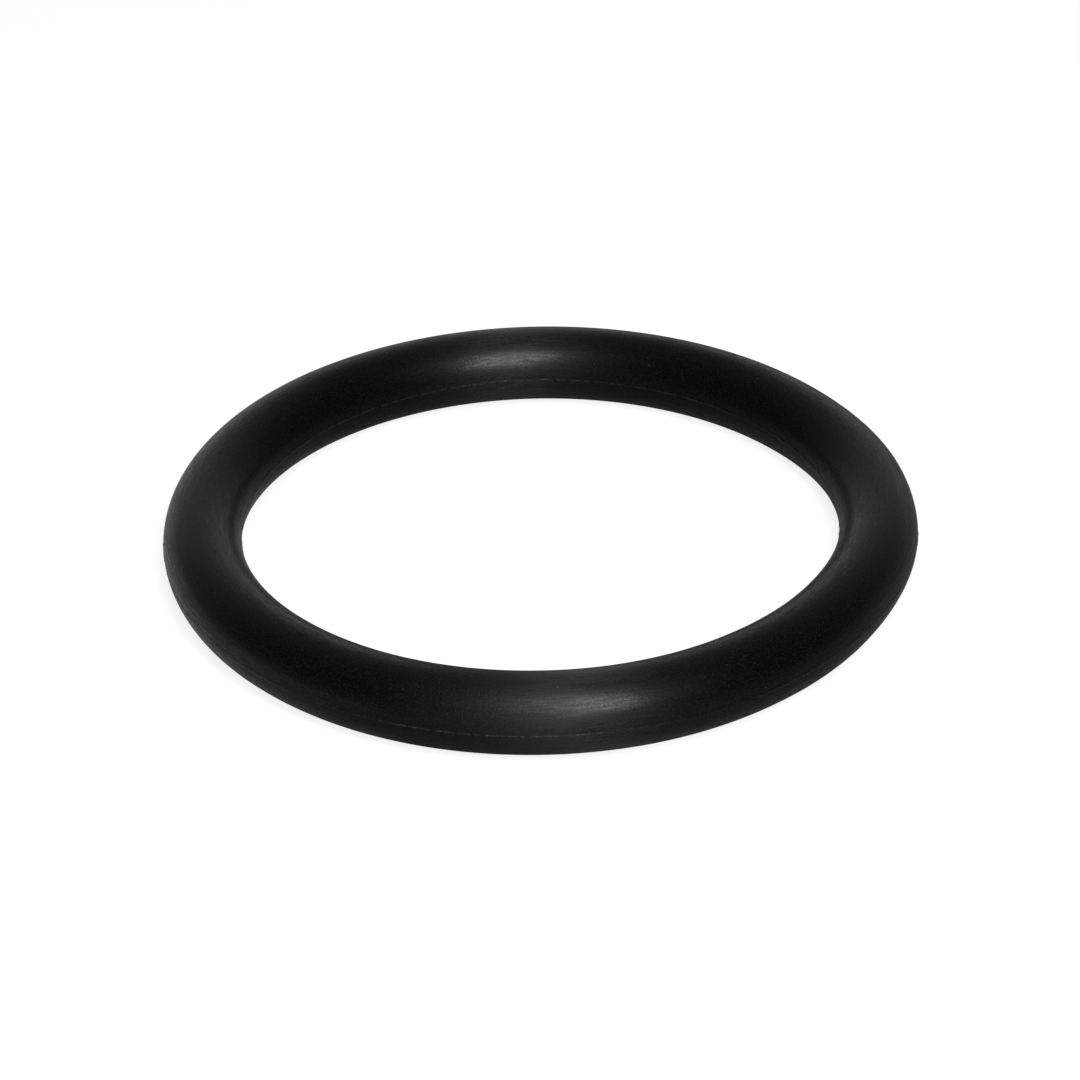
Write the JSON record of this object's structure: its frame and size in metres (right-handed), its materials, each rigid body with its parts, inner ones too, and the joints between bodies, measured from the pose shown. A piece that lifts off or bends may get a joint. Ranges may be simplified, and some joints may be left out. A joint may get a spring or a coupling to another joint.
{
  "type": "o-ring",
  "caption": "Round-section rubber sealing ring, lying flat, with a fine trimmed parting line round its outside and inside.",
  "frame": {"origin": "centre of the ring, on its axis and in the parting plane halfway up the section", "axes": "+Z along the ring's axis, upwards as it lies flat; X and Y are in the parting plane, and the ring is the same all the way round"},
  "size_m": [0.0514, 0.0514, 0.0054],
  "materials": {
    "rubber": "satin black, as moulded, with fine buffing marks round the ring"
  },
  "bodies": {
    "root": {"o_ring": "rubber"}
  },
  "joints": []
}
